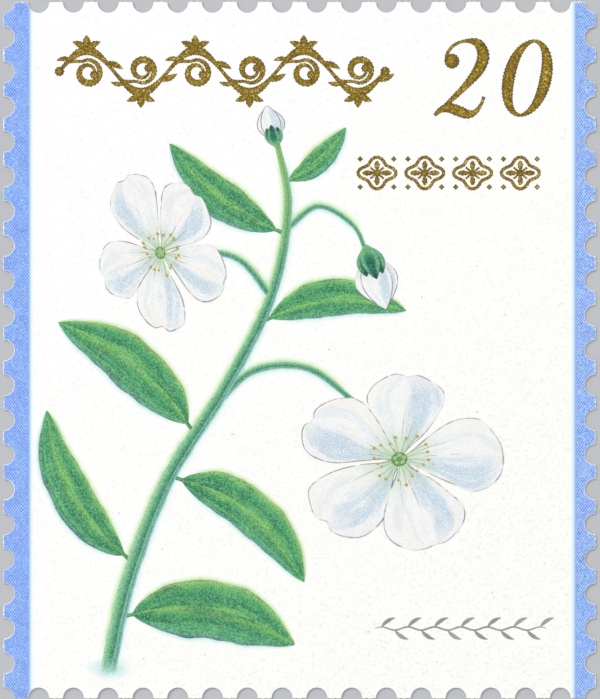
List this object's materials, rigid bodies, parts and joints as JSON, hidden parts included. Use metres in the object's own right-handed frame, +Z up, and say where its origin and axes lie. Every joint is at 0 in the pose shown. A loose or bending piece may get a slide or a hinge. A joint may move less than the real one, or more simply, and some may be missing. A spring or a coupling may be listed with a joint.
{
  "type": "postage stamp",
  "caption": "Flat upright rectangle of gummed paper, perforated on every side, printed on its face with a flowering twig, a gold heading and blue bands down the sides.",
  "frame": {"origin": "middle of the gummed back, which lies on the surface", "axes": "+Z up out of the printed face, +Y towards the top of the printed design, +X to its right"},
  "size_m": [0.0254, 0.03, 0.0001],
  "materials": {
    "stamp_paper": "smooth white coated paper, faintly mottled, with soft torn fibres at the tips of the teeth",
    "dried_gum": "thin clear dried gum with a satin sheen and a fine waffle pattern",
    "blue_ink": "matte printing ink laid down in fine slanting screen cells",
    "gold_ink": "metallic printing ink, grainy, with serrated screen edges",
    "leaf_ink": "matte printing ink, yellow-green to blue-green, shaded along each leaf and stem",
    "petal_ink": "near-white matte printing ink with a pale blue wash",
    "grey_ink": "thin grey pencil-like printed line, uneven in strength",
    "pollen_ink": "matte yellow-green printing ink in small dots"
  },
  "bodies": {
    "root": {"stamp_sheet": "stamp_paper"}
  },
  "joints": []
}
